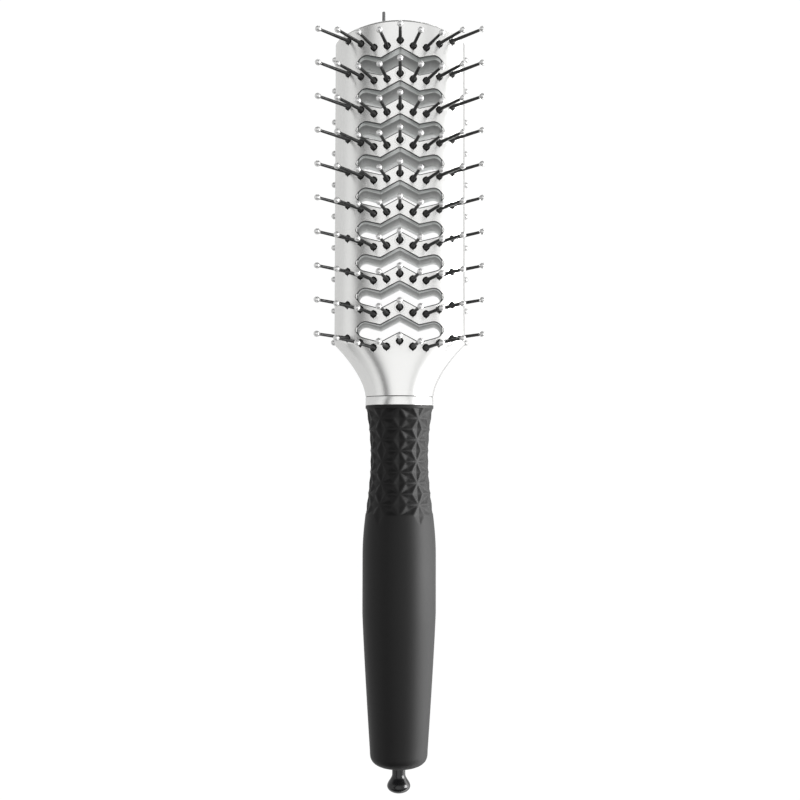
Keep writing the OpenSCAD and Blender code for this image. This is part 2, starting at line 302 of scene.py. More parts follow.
def draw_on(bm, loops, rings):
    """Extrudes loops together, each to the points of its next ring."""
    above = extrude(bm, [edge for loop in loops for edge in loop_edges(bm, loop)])
    moved = [[above[corner] for corner in loop] for loop in loops]
    for loop, ring in zip(moved, rings):
        for corner, point in zip(loop, ring):
            corner.co = point
    return moved


def open_edges(bm):
    return [edge for edge in bm.edges if len(edge.link_faces) == 1]


def bisect(bm, place, normal, **clear):
    parts = bm.verts[:] + bm.edges[:] + bm.faces[:]
    bmesh.ops.bisect_plane(bm, geom=parts, dist=1e-5, plane_co=place, plane_no=normal, **clear)


# The shell's finishes, by their number on its faces; the rim's finish is painted shade
SKIN, VENT_SIDE, RIM, JOINT = range(4)


def shell_mesh():
    """One shell, drawn unrolled and flat with its thickness, then bent to the head's form."""
    bm = bmesh.new()
    places = [(row, side) for row in range(1, ROWS + 1) for side in SIDES]
    holes = [hole_rings(row, side) for row, side in places]
    vent_rows = range(1, ROWS)

    border = draw_loop(bm, border_ring(0))
    vents = [draw_loop(bm, vent_ring(row, VENT_LIP, 0)) for row in vent_rows]
    pins = [draw_loop(bm, rings[0]) for rings in holes]
    bmesh.ops.triangle_fill(bm, edges=bm.edges[:], use_beauty=True, normal=(0, 0, 1))
    for tilt in VENT_TILTS[1:]:
        grow, depth = lip_step(VENT_LIP, tilt)
        drawn = set(bm.faces)
        vents = draw_on(bm, vents, [vent_ring(row, grow, depth) for row in vent_rows])
        # Lips keep the silver where they face the lobes at the light's tilt, and elsewhere take
        # the rim's painted shade
        for lip in set(bm.faces) - drawn:
            lip.normal_update()
            at_lobe = abs(lip.normal.x) > LOBE_FACING * abs(lip.normal.y)
            lip.material_index = SKIN if at_lobe and tilt == LIGHT_TILT else RIM
        border, = draw_on(bm, [border], [border_ring(tilt)])
    for step in range(1, max(len(rings) for rings in holes)):
        deeper = [(loop, rings) for loop, rings in zip(pins, holes) if step < len(rings)]
        moved = draw_on(bm, [loop for loop, _ in deeper], [rings[step] for _, rings in deeper])
        left = iter(moved)
        pins = [next(left) if step < len(rings) else loop for loop, rings in zip(pins, holes)]

    inner = draw_loop(bm, border_ring(90, WALL))
    inner_vents = [draw_loop(bm, vent_ring(row, VENT_WALL, WALL)) for row in vent_rows]
    inner_loops = [inner] + inner_vents + pins
    inner_edges = [edge for loop in inner_loops for edge in loop_edges(bm, loop)]
    bmesh.ops.triangle_fill(bm, edges=inner_edges, use_beauty=True, normal=(0, 0, -1))
    neck_and_sides = [
        edge for edge in loop_edges(bm, border)
        if min(end.co.y for end in edge.verts) < end_edge(SIDE) - END_LIP
    ]
    for corner in extrude(bm, neck_and_sides).values():
        corner.co.z = -WALL
        if corner.co.y > end_edge(SIDE) - 5 * END_LIP:
            corner.co.y += end_edge(SIDE, WALL) - end_edge(SIDE)
    bmesh.ops.remove_doubles(bm, verts=bm.verts, dist=WELD)

    for cut in range(1, CUTS_ACROSS):
        bisect(bm, (SIDE * (2 * cut / CUTS_ACROSS - 1), 0, 0), (1, 0, 0))
    flare_end = COLLAR_Y + FLARE_LEN
    for cut in range(1, CUTS_IN_FLARE + 1):
        bisect(bm, (0, SEAM_Y + (flare_end - SEAM_Y) * cut / CUTS_IN_FLARE, 0), (0, 1, 0))
    for corner in bm.verts:
        corner.co = skin_point(corner.co.x, corner.co.y, -corner.co.z)

    vent_edges = [edge for edge in open_edges(bm) if edge.verts[0].co.y < FIRST_ROW_Y]
    end_edges = [edge for edge in open_edges(bm) if edge.verts[0].co.y > FIRST_ROW_Y]
    for level, paint in ((TUBE_LEVEL + TUBE_JOINT, VENT_SIDE), (TUBE_LEVEL, JOINT)):
        drawn = set(bm.faces)
        above = extrude(bm, vent_edges)
        for corner in above.values():
            corner.co.z = level
        for wall in set(bm.faces) - drawn:
            wall.material_index = paint
        vent_edges = [bm.edges.get([above[end] for end in edge.verts]) for edge in vent_edges]
    for corner in extrude(bm, end_edges).values():
        corner.co.z = 0
    bmesh.ops.remove_doubles(bm, verts=bm.verts, dist=WELD)
    for level in (TUBE_LEVEL, 0):
        level_edges = [
            edge for edge in open_edges(bm) if abs(edge.verts[0].co.z - level) < LEVEL_PLAY]
        bmesh.ops.triangle_fill(bm, edges=level_edges, use_beauty=True, normal=(0, 0, -1))
    bmesh.ops.recalc_face_normals(bm, faces=bm.faces)
    return bm


def to_back(bm):
    """Mirrors a mesh of the brush's front to its back."""
    bmesh.ops.scale(bm, vec=(1, 1, -1), verts=bm.verts)
    bmesh.ops.reverse_faces(bm, faces=bm.faces)


SHARP = math.radians(38)


def piece(bm, name, materials, nodes, body="brush"):
    """Makes a mesh drawn in millimetres into an object on its body, and hides the CAD nodes it
    replaces.
    """
    for face in bm.faces:
        face.smooth = True
    for edge in bm.edges:
        edge.smooth = len(edge.link_faces) == 2 and edge.calc_face_angle() < SHARP
    bmesh.ops.scale(bm, vec=(MM, MM, MM), verts=bm.verts)
    mesh = bpy.data.meshes.new(name)
    bm.to_mesh(mesh)
    bm.free()
    for material in materials:
        mesh.materials.append(material)
    made = bpy.data.objects.new(name, mesh)
    bpy.context.scene.collection.objects.link(made)
    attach(made, body)
    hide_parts(*nodes)
    return made


ON_SKIN = 1e-5


def true_normals(mesh, face):
    """Gives the skin's corners the head's own normals, so that light runs over it unbroken."""
    normals = []
    for corner in mesh.loops:
        x, y, z = mesh.vertices[corner.vertex_index].co / MM
        off = math.hypot(x / half_w(y), z / half_t(y)) - 1
        if abs(off) < ON_SKIN and y > SEAM_Y + SIDE_LIP / 2:
            normal = skin_normal(HALF_W * math.atan2(x / half_w(y), face * z / half_t(y)), y)
            normals.append((normal.x, normal.y, face * normal.z))
        else:
            normals.append((0, 0, 0))
    mesh.normals_split_custom_set(normals)


class Signal:
    """A socket of a material's nodes, on which sums are written as plain expressions."""

    def __init__(self, tree, socket=None):
        self.tree = tree
        self.socket = socket

    def node(self, kind, settings, sockets, output=0):
        made = self.tree.nodes.new(kind)
        for name, value in settings.items():
            if name == "stops":
                for place, shade in value[1:-1]:
                    made.color_ramp.elements.new(place)
                for stop, (place, shade) in zip(made.color_ramp.elements, value):
                    stop.position = place
                    stop.color = (shade, shade, shade, 1)
            else:
                setattr(made, name, value)
        for name, value in sockets.items():
            if isinstance(value, Signal):
                self.tree.links.new(value.socket, made.inputs[name])
            else:
                made.inputs[name].default_value = value
        return Signal(self.tree, made.outputs[output])

    def sum(self, operation, first, second=0.0):
        return self.node("ShaderNodeMath", {"operation": operation}, {0: first, 1: second})

    def __add__(self, other):
        return self.sum("ADD", self, other)

    def __sub__(self, other):
        return self.sum("SUBTRACT", self, other)

    def __rsub__(self, other):
        return self.sum("SUBTRACT", other, self)

    def __mul__(self, other):
        return self.sum("MULTIPLY", self, other)

    def blend(self, dark, light):
        """The colour between two, by this signal."""
        return self.node(
            "ShaderNodeMix", {"data_type": "RGBA"}, {0: self, 6: (*dark, 1), 7: (*light, 1)}, 2)

    __radd__ = __add__
    __rmul__ = __mul__


def noise(source, scale, detail=3.0):
    """Noise in the object's own space, in cells of 1/scale metres, around 0.5."""
    place = source.node("ShaderNodeTexCoord", {}, {}, "Object")
    return source.node(
        "ShaderNodeTexNoise", {}, {"Vector": place, "Scale": scale, "Detail": detail})


def along_axis(source, axis, space="Object"):
    """How far along one axis a point lies, in metres in the object's own space."""
    place = source.node("ShaderNodeTexCoord", {}, {}, space)
    return source.node("ShaderNodeSeparateXYZ", {}, {"Vector": place}, axis)


def material_of(name, plain):
    """A Principled material, its even values set on the shader's own sockets."""
    material = bpy.data.materials.new(name)
    material.use_nodes = True
    shader = material.node_tree.nodes["Principled BSDF"]
    for socket, value in plain.items():
        shader.inputs[socket].default_value = value
    return material, shader, Signal(material.node_tree)


def feed(shader, source, links, grain=None, strength=0.1, distance=0.0001):
    """Links what varies over the surface, and its grain as a bump."""
    for name, signal in links.items():
        source.tree.links.new(signal.socket, shader.inputs[name])
    if grain:
        sockets = {"Height": grain, "Strength": strength, "Distance": distance}
        bump = source.node("ShaderNodeBump", {}, sockets)
        source.tree.links.new(bump.socket, shader.inputs["Normal"])


# Shades from dark to light: silver paint and its flakes, the paint in the vents from the core up
# to the rim with painted shade deeper down, the painted shade on the vents' rims, and the core
# from its painted shade at the front to its painted light at the back
SILVER_SHADES = (0.70, 0.70, 0.69), (0.86, 0.86, 0.85)
VENT_PAINT_AND_SHADE = (0.70, 0.72, 0.71), (0.90, 0.92, 0.91)
RIM_PAINTED_SHADES = (0.03, 0.032, 0.032), (0.11, 0.115, 0.115)
CORE_SHADE_TO_LIGHT = (0.185, 0.19, 0.187), (0.93, 0.94, 0.93)


def silver_paint():
    """Satin silver paint: fine metal flakes, a slightly uneven flow and a thin clear coat."""
    material, shader, source = material_of(
        "silver_paint", {"Metallic": 0.82, "Coat Weight": 0.15, "Coat Roughness": 0.16})
    flakes = noise(source, scale=9000, detail=1.0)
    flow = noise(source, scale=260, detail=2.0)
    links = {
        "Base Color": flakes.blend(*SILVER_SHADES),
        "Roughness": 0.19 + 0.06 * flow + 0.04 * flakes,
    }
    feed(shader, source, links, flow, strength=0.04, distance=0.0003)
    return material


def thin_paint_and_shade():
    """The vents' walls, where the silver thins out over the grey plastic and painted shade
    deepens as they go down.
    """
    material, shader, source = material_of("thin_paint_and_shade", {"Metallic": 0.9})
    # Darker with depth, as thinning paint and as painted shade inside the vents
    shown = source.node("ShaderNodeMapRange", {}, {
        "Value": source.sum("ABSOLUTE", along_axis(source, "Z")), "From Min": TUBE_LEVEL * MM,
        "From Max": HALF_T * MM})
    dust = noise(source, scale=2600, detail=2.0)
    links = {
        "Base Color": (0.3 * dust + 0.7 * shown).blend(*VENT_PAINT_AND_SHADE),
        "Roughness": 0.26 + 0.1 * dust,
    }
    feed(shader, source, links, dust, strength=0.05)
    return material


def painted_edge_shade():
    """Painted shade on the vents' rims and the collar's top edge: a dark line on the sharp edges.
    """
    material, shader, source = material_of(
        "painted_edge_shade", {"Metallic": 0.05, "Specular IOR Level": 0.2})
    wear = noise(source, scale=1800)
    links = {
        "Base Color": wear.blend(*RIM_PAINTED_SHADES),
        "Roughness": 0.3 + 0.2 * wear,
    }
    feed(shader, source, links)
    return material


def grey_plastic_painted_light():
    """The core's grey moulding, slightly mottled, with painted shade at its front that turns to
    painted light towards the brush's back, near the floor.
    """
    material, shader, source = material_of("grey_plastic_painted_light", {"Specular IOR Level": 0.6})
    # Painted shade at the front of the core, turning to painted light towards its back
    painted_light_to_back = source.node("ShaderNodeMapRange", {}, {
        "Value": along_axis(source, "Z"), "From Min": TUBE_LEVEL * MM,
        "From Max": -TUBE_LEVEL * MM})
    mottle = noise(source, scale=700)
    links = {
        "Base Color": (0.9 * painted_light_to_back + 0.15 * mottle).blend(*CORE_SHADE_TO_LIGHT),
        "Roughness": 0.28 + 0.12 * mottle,
    }
    feed(shader, source, links, noise(source, scale=4000), strength=0.08)
    return material


head_silver = silver_paint()
rim_shade_paint = painted_edge_shade()
core_grey = grey_plastic_painted_light()
front_half = shell_mesh()
back_half = front_half.copy()
to_back(back_half)
shell_paints = [head_silver, thin_paint_and_shade(), rim_shade_paint, core_grey]
front = piece(front_half, "head_front", shell_paints, ["front_shell"])
back = piece(back_half, "head_back", shell_paints, ["back_shell"])
true_normals(front.data, 1)
true_normals(back.data, -1)

# The core frame is a grey moulded plate between the shells, with the same vents. It backs the
# strips of pins, and its tang goes down through the neck into the handle. It shows as the
# vents' middle band.
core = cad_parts["core_frame"]
for place in core.material_slots:
    place.link = "OBJECT"
    place.material = core_grey

# The neck collar is a short silver ring that covers the joint between the head and the handle.
# It is turned true with small rounded edges, and its top edge is painted dark as the shade in the
# fine seam above it.
COLLAR_BORE = 4.55
COLLAR_EDGE = 0.09
TURN_STEPS = 96


def turned(profile):
    """A solid turned about the brush's axis from (radius, y) points of its section."""
    bm = bmesh.new()
    loop = [bm.verts.new((radius, y, 0)) for radius, y in profile]
    edges = [bm.edges.new(pair) for pair in zip(loop, loop[1:])]
    if min(radius for radius, _ in profile) > 0:
        edges.append(bm.edges.new((loop[-1], loop[0])))
    bmesh.ops.spin(
        bm, geom=loop + edges, axis=(0, 1, 0), cent=(0, 0, 0), angle=2 * math.pi,
        steps=TURN_STEPS, use_merge=True)
    bmesh.ops.remove_doubles(bm, verts=bm.verts, dist=WELD)
    bmesh.ops.recalc_face_normals(bm, faces=bm.faces)
    return bm


low, high = collar_low[1], collar_high[1]
ring = turned((
    (COLLAR_BORE, low), (NECK_R - COLLAR_EDGE, low), (NECK_R, low + COLLAR_EDGE),
    (NECK_R, high - 2 * COLLAR_EDGE), (NECK_R - COLLAR_EDGE / 2, high - COLLAR_EDGE / 2),
    (NECK_R - 2 * COLLAR_EDGE, high), (COLLAR_BORE, high),
))
# The faces of the top edge take the painted shade of the seam
for facet in ring.faces:
    facet.material_index = 1 if facet.calc_center_median().y > high - COLLAR_EDGE else 0
piece(ring, "collar_ring", [head_silver, rim_shade_paint], ["neck_collar"])

# The rows of pins are one nylon moulding each: a zigzag strip under the shell with nine roots
# that fill the shell's holes, and nine tapered pins that fan out. The back's pins are shorter.
FRONT_PIN = 12.3
BACK_PIN = 7.3
FAN_ANGLE = 42.5
FAN_POWER = 1.09
PIN_LEAN = 1.9
PIN_ROOT_R = 0.52
PIN_TIP_R = 0.42
# A root's top lies a little under the skin, with a small chamfer, and the pin stands on a cone
ROOT_SINK = 0.22
ROOT_PLAY = 0.03
CHAMFER_DEEP = 0.12
CHAMFER_WIDE = 0.06
CONE_FOOT = (0.1, 0.22)
CONE_TOP = 0.3
STRIP_DEPTHS = (1.7, 2.9)
STRIP_HALF = 0.85
ROOT_IN_STRIP = 0.4
PIN_CORNERS = 12


def pin_seat(row, side):
    """Puts a pin's foot on the skin, leaning out with the fan and a little to the end."""
    x, y = root_place(row, side)
    fan = math.copysign(math.radians(FAN_ANGLE) * (abs(side) / 4) ** FAN_POWER, side)
    turn = Matrix.Rotation(fan, 4, "Y") @ Matrix.Rotation(-math.radians(PIN_LEAN), 4, "X")
    return Matrix.Translation(skin_point(unrolled(x, y), y)) @ turn


def stem(bm, seat, corners_round, steps):
    """A closed stem through (height, radius) steps, where a radius may depend on the turn."""
    loop = bmesh.ops.create_circle(bm, radius=1, segments=corners_round)["verts"]
    turns = [2 * math.pi * corner / corners_round for corner in range(corners_round)]
    first = loop_edges(bm, loop)
    for number, (height, radius) in enumerate(steps):
        reach = [radius(turn) if callable(radius) else radius for turn in turns]
        points = [
            seat @ Vector((r * math.cos(turn), r * math.sin(turn), height))
            for r, turn in zip(reach, turns)
        ]
        if number:
            loop, = draw_on(bm, [loop], [points])
        else:
            for corner, point in zip(loop, points):
                corner.co = point
    bmesh.ops.edgeloop_fill(bm, edges=first)
    bmesh.ops.edgeloop_fill(bm, edges=loop_edges(bm, loop))


def root_outline(turn):
    return pin_hole(turn) - ROOT_PLAY


def root_edge(turn):
    return root_outline(turn) - CHAMFER_WIDE


def pin_strip(bm, row):
    """The zigzag strip under the shell, drawn on from root to root."""
    stations = []
    for side in SIDES:
        x, y = root_place(row, side)
        stations.append([
            skin_point(unrolled(x, y), edge, depth)
            for depth, edge in (
                (STRIP_DEPTHS[0], y - STRIP_HALF), (STRIP_DEPTHS[0], y + STRIP_HALF),
                (STRIP_DEPTHS[1], y + STRIP_HALF), (STRIP_DEPTHS[1], y - STRIP_HALF))
        ])
    loop = draw_loop(bm, stations[0])
    bmesh.ops.edgeloop_fill(bm, edges=loop_edges(bm, loop))
    for points in stations[1:]:
        loop, = draw_on(bm, [loop], [points])
    bmesh.ops.edgeloop_fill(bm, edges=loop_edges(bm, loop))


def pin_row(row, length, face):
    """One row's moulding for the front, or for the back where face is -1."""
    bm = bmesh.new()
    pin_strip(bm, row)
    for side in SIDES:
        stem(bm, pin_seat(row, side), PIN_CORNERS, (
            (-STRIP_DEPTHS[1] + ROOT_IN_STRIP, HOLE_INSIDE - ROOT_PLAY),
            (-WALL, HOLE_INSIDE - ROOT_PLAY), (-ROOT_SINK - CHAMFER_DEEP, root_outline),
            (-ROOT_SINK, root_edge), (-ROOT_SINK + CONE_FOOT[0], PIN_ROOT_R + CONE_FOOT[1]),
            (CONE_TOP, PIN_ROOT_R), (length, PIN_TIP_R),
        ))
    # Faces inside the skin are the roots, which take the painted shade of the holes
    for facet in bm.faces:
        x, y, z = facet.calc_center_median()
        facet.material_index = 1 if math.hypot(x / half_w(y), z / half_t(y)) < 1 else 0
    bmesh.ops.recalc_face_normals(bm, faces=bm.faces)
    if face < 0:
        to_back(bm)
    return bm


def charcoal_nylon(name, gloss, shade):
    """Charcoal nylon with a low sheen, scuffed a little paler along the pins."""
    material, shader, source = material_of(name, {"Specular IOR Level": gloss})
    scuff = noise(source, scale=1500, detail=4.0)
    links = {
        "Base Color": scuff.blend([0.5 * shade] * 3, [1.5 * shade] * 3),
        "Roughness": 0.2 + 0.2 * scuff,
    }
    feed(shader, source, links, noise(source, scale=9000), strength=0.1)
    return material


# The pins, and their roots, which are painted darker and duller as the shade in the holes
nylon = [
    charcoal_nylon("pin_nylon", gloss=0.22, shade=0.05),
    charcoal_nylon("root_nylon_painted_shade", gloss=0.04, shade=0.008),
]
for row in range(1, ROWS + 1):
    front = pin_row(row, FRONT_PIN, 1)
    piece(front, f"pins_front_{row}", nylon, [f"front_pin_row_{row}"])
    back = pin_row(row, BACK_PIN, -1)
    piece(back, f"pins_back_{row}", nylon, [f"back_pin_row_{row}"])

# The ball tips are small silvery pearl balls, moulded over the end of every pin so that it
# glides over the scalp. They have a thin shoulder where the pin goes in.
BALL_R = 0.92
SHOULDER_R = 0.56
BALL_LEVELS = [math.radians(level) for level in (-66, -38, -10, 18, 46, 70)]
PEARL_SHADES = (0.74, 0.74, 0.74), (0.86, 0.86, 0.85)


def ball_tips(length, face):
    """The ninety balls on the front's pins, or on the back's where face is -1."""
    bm = bmesh.new()
    ball = [(BALL_R * math.sin(level), BALL_R * math.cos(level)) for level in BALL_LEVELS]
    for row in range(1, ROWS + 1):
        for side in SIDES:
            seat = pin_seat(row, side) @ Matrix.Translation((0, 0, length))
            stem(bm, seat, PIN_CORNERS, [(-BALL_R, SHOULDER_R)] + ball)
    bmesh.ops.recalc_face_normals(bm, faces=bm.faces)
    if face < 0:
        to_back(bm)
    return bm


def pearl_plastic():
    """Pale grey plastic with a pearly, half metallic and polished face."""
    material, shader, source = material_of(
        "pearl_plastic", {"Metallic": 0.5, "Specular IOR Level": 0.4, "Coat Weight": 0.3,
                          "Coat Roughness": 0.06})
    cloud = noise(source, scale=900)
    links = {
        "Base Color": cloud.blend(*PEARL_SHADES),
        "Roughness": 0.25 + 0.1 * cloud,
    }
    feed(shader, source, links)
    return material


pearl = pearl_plastic()
piece(ball_tips(FRONT_PIN, 1), "tips_front", [pearl], ["front_ball_tips"])
piece(ball_tips(BACK_PIN, -1), "tips_back", [pearl], ["back_ball_tips"])

# The end stub is a plain pin of grey nylon, without a ball, that stands straight out of the
# head's end. Its tip is rounded off.
STUB_R = 0.5
STUB_CORNERS = 16
# How far back from the tip, and how far in, its rounding goes
STUB_ROUNDING = ((0.15, 0.04), (0.04, 0.1), (0, 0.2))
STUB_SHADES = (0.16, 0.16, 0.162), (0.25, 0.25, 0.252)
stub_low, stub_high = corners("end_stub")
STUB_LEN = stub_high[1] - stub_low[1]


def plain_nylon():
    """Mid grey nylon, unpolished, a little streaky from the mould."""
    material, shader, source = material_of("plain_nylon", {"Specular IOR Level": 0.4})
    streak = noise(source, scale=1200, detail=2.0)
    links = {
        "Base Color": streak.blend(*STUB_SHADES),
        "Roughness": 0.4 + 0.15 * streak,
    }
    feed(shader, source, links, streak, strength=0.08)
    return material


stub_seat = Matrix.Translation((
    (stub_low[0] + stub_high[0]) / 2, stub_low[1], (stub_low[2] + stub_high[2]) / 2,
)) @ Matrix.Rotation(-math.pi / 2, 4, "X")
stub = bmesh.new()
stem(stub, stub_seat, STUB_CORNERS, [(0, STUB_R)] + [
    (STUB_LEN - back_by, STUB_R - in_by) for back_by, in_by in STUB_ROUNDING])
bmesh.ops.recalc_face_normals(stub, faces=stub.faces)
piece(stub, "stub", [plain_nylon()], ["end_stub"])

# The handle is one round moulding with a soft-touch black coat and a relief of six-pointed
# stars, whose ridges part dished rhombic hollows. Its rim cuts them off, and they fade out
# below. It has a socket for the core's tang and a long bore for the sectioning pick.
handle_low, handle_high = corners("handle")
NECK_Y = handle_high[1]
HANDLE_LEN = NECK_Y - handle_low[1]
WIDE_R = handle_high[0]
# Its outline, by the distance from its top: a waist, a straight wide stretch, a taper, a dome
WAIST_AT = 15.5
WAIST_R = 8.6
WIDE_AT = 44
WIDE_END = 61
TAIL_R = 8.5
TAPER_POWER = 1.15
DOME_LEN = 4.7
DOME_POWER = 3
TAIL_AT = HANDLE_LEN - DOME_LEN
WIDEN_STEPS = 4
TAPER_STEPS = 12
DOME_STEPS = 12
# The relief: ten columns of stars, each with hollows below it and beside it
COLUMNS = 10
STAR_PITCH = 6.25
FIRST_STAR = 0.85
STAR_ROWS = 5
HOLLOW_DEPTH = 0.52
HOLLOW_ROUND = 0.65
RIDGE_SHARE = 0.1
LAST_FADE = 0.6
CELLS = 12
RELIEF_END = 38
RELIEF_WELD = 2e-3
# The top's rim, its step down to the relief and its rounded edge
RIM_LEN = 0.9
RIM_STEP = 0.08
RIM_DROP = 0.02
RIM_EDGE = 0.1
# The socket, and the bore with the seat for the pick's knob
SOCKET_R = 4.55
SOCKET_LEN = 24.05
SEAT_R = 2.2
SEAT_DEPTH = 0.4
BORE_R = 1.45
BORE_END = 32.15


def handle_r(s):
    """The handle's radius at a distance s from its front face."""
    if s < WAIST_AT:
        return WAIST_R + (NECK_R - WAIST_R) * (1 - s / WAIST_AT) ** 2
    if s < WIDE_AT:
        share = (s - WAIST_AT) / (WIDE_AT - WAIST_AT)
        return WAIST_R + (WIDE_R - WAIST_R) * (1 - math.cos(math.pi * share)) / 2
    if s <= WIDE_END:
        return WIDE_R
    if s < TAIL_AT:
        share = (s - WIDE_END) / (TAIL_AT - WIDE_END)
        return WIDE_R - (WIDE_R - TAIL_R) * share ** TAPER_POWER
    return TAIL_R * max(1 - ((s - TAIL_AT) / DOME_LEN) ** DOME_POWER, 0) ** (1 / DOME_POWER)


def hollow_form(near):
    """Depth of a hollow, where near is 0 on a ridge and 1 in the hollow's middle."""
    share = max(0, (near - RIDGE_SHARE) / (1 - RIDGE_SHARE))
    return share * (1 + HOLLOW_ROUND * (1 - share))


def hollow(bm, outline, depth):
    """One rhombus of the relief, on the unrolled grip, with a ridge along its sides."""
    grid = bmesh.ops.create_grid(bm, x_segments=CELLS, y_segments=CELLS, size=0.5)
    star, right, below, left = [Vector(corner) for corner in outline]
    for corner in grid["verts"]:
        a, b = corner.co.x + 0.5, corner.co.y + 0.5
        spot = (star * (1 - a) + right * a) * (1 - b) + (left * (1 - a) + below * a) * b
        near = 2 * min(a, 1 - a, b, 1 - b)
        corner.co = (spot.x, spot.y, -depth * hollow_form(near))


def star_hollows(bm, turn, s, depths):
    """A star's rhombus below its middle, and one at each side, from its middle at turn and s."""
    below, beside = depths
    low, mid, third = s + STAR_PITCH, s + STAR_PITCH / 2, 1 / 3
    hollow(bm, ((turn, s), (turn + third, mid), (turn, low), (turn - third, mid)), below)
    for rhombus in (
        ((turn, s), (turn + 2 * third, s), (turn + 1, mid), (turn + third, mid)),
        ((turn, s), (turn - third, mid), (turn - 1, mid), (turn - 2 * third, s)),
    ):
        hollow(bm, rhombus, beside)


def grip_point(turn, s, rise):
    """Wraps a point of the unrolled grip round the handle."""
    radius = handle_r(s) + rise
    angle = 2 * math.pi * turn / COLUMNS
    return Vector((radius * math.sin(angle), NECK_Y - s, radius * math.cos(angle)))


def handle_mesh():
    """The handle, drawn unrolled from its relief to both ends and their holes, then wrapped."""
    bm = bmesh.new()
    for column in range(COLUMNS):
        for star in range(-1, STAR_ROWS + 2):
            s = FIRST_STAR + (star + column % 2 / 2) * STAR_PITCH
            below = HOLLOW_DEPTH if star < STAR_ROWS - 1 else HOLLOW_DEPTH * LAST_FADE
            beside = HOLLOW_DEPTH if star < STAR_ROWS else 0
            star_hollows(bm, column, s, (below if star < STAR_ROWS else 0, beside))
    bisect(bm, (0, RIM_LEN, 0), (0, -1, 0), clear_outer=True)
    bisect(bm, (0, RELIEF_END, 0), (0, 1, 0), clear_outer=True)

    def draw_rings(start, rings):
        edges = [
            edge for edge in open_edges(bm)
            if all(abs(end.co.y - start) < 1e-4 for end in edge.verts)
        ]
        for s, radius in rings:
            above = extrude(bm, edges)
            for corner in above.values():
                corner.co.y = s
                corner.co.z = radius - handle_r(s)
            edges = [bm.edges.get([above[end] for end in edge.verts]) for edge in edges]

    draw_rings(RIM_LEN, (
        (RIM_LEN, NECK_R - RIM_DROP), (RIM_LEN - RIM_STEP, NECK_R), (RIM_EDGE, NECK_R),
        (0, NECK_R - RIM_EDGE), (0, SOCKET_R), (SOCKET_LEN, SOCKET_R), (SOCKET_LEN, 0),
    ))
    widen, taper = WIDE_AT - RELIEF_END, TAIL_AT - WIDE_END
    body = [RELIEF_END + widen * step / WIDEN_STEPS for step in range(1, WIDEN_STEPS + 1)]
    body += [WIDE_END + taper * step / TAPER_STEPS for step in range(TAPER_STEPS + 1)]
    dome_turns = [math.pi / 2 * step / DOME_STEPS for step in range(1, DOME_STEPS - 1)]
    body += [TAIL_AT + DOME_LEN * math.sin(turn) for turn in dome_turns]
    seat_share = (1 - (SEAT_R / TAIL_R) ** DOME_POWER) ** (1 / DOME_POWER)
    seat_at = TAIL_AT + DOME_LEN * seat_share
    draw_rings(RELIEF_END, [(s, handle_r(s)) for s in body] + [
        (seat_at, SEAT_R), (seat_at - SEAT_DEPTH, SEAT_R), (seat_at - SEAT_DEPTH, BORE_R),
        (BORE_END, BORE_R), (BORE_END, 0),
    ])
    for corner in bm.verts:
        corner.co = grip_point(*corner.co)
    bmesh.ops.remove_doubles(bm, verts=bm.verts, dist=RELIEF_WELD)
    bmesh.ops.recalc_face_normals(bm, faces=bm.faces)
    return bm


SOFT_SHADES = (0.0018, 0.0017, 0.0018), (0.0032, 0.003, 0.0032)


def soft_touch():
    """Soft-touch coat: nearly black, velvety and finely grained, a little cloudy from use."""
    material, shader, source = material_of(
        "soft_touch", {"Specular IOR Level": 0.3, "Sheen Weight": 0.09, "Sheen Roughness": 0.35})
    cloud = noise(source, scale=60, detail=2.0)
    grain = noise(source, scale=5200, detail=2.0)
    links = {
        "Base Color": cloud.blend(*SOFT_SHADES),
        "Roughness": 0.49 + 0.06 * cloud + 0.05 * grain,
    }
    feed(shader, source, links, grain, strength=0.12, distance=0.00008)
    return material


piece(handle_mesh(), "handle_body", [soft_touch()], ["handle"])

# The sectioning pick is a pointed shaft and a bell shaped knob in one polished black moulding,
# kept in the handle's bore. It pulls straight out by the knob.
pick_low, pick_high = corners("sectioning_pick")
PICK_R = 1.4
PICK_TIP_R = 0.45
TIP_FLAT = (0.7, 0.1)
TIP_LEN = 0.4
PICK_POINT = 14
KNOB_NECK_R = 1.95
KNOB_NECK_LEN = 2.0
KNOB_R = pick_high[0]
KNOB_LEN = 5.5
BELL_SHARE = 0.62
CURVE_STEPS = 14


def pick_profile():
    """The pick's outline from its point to the knob's end, as (radius, y)."""
    tip, end = pick_high[1], pick_low[1]
    bell_from = end + KNOB_LEN
    cap_from = end + KNOB_LEN * (1 - BELL_SHARE)
    seat = bell_from + KNOB_NECK_LEN + SEAT_DEPTH
    profile = [
        (0, tip), (PICK_TIP_R * TIP_FLAT[0], tip - TIP_FLAT[1]), (PICK_TIP_R, tip - TIP_LEN),
        (PICK_R, tip - PICK_POINT), (PICK_R, seat), (KNOB_NECK_R, seat),
    ]
    for step in range(CURVE_STEPS + 1):
        share = step / CURVE_STEPS
        radius = KNOB_NECK_R + (KNOB_R - KNOB_NECK_R) * math.sin(math.pi / 2 * share) ** 2
        profile.append((radius, bell_from + (cap_from - bell_from) * share))
    for step in range(1, CURVE_STEPS + 1):
        turn = math.pi / 2 * step / CURVE_STEPS
        profile.append((KNOB_R * math.cos(turn), cap_from + (end - cap_from) * math.sin(turn)))
    profile[-1] = (0, end)
    return profile


BLACK_SHADES = (0.008, 0.008, 0.009), (0.014, 0.014, 0.015)


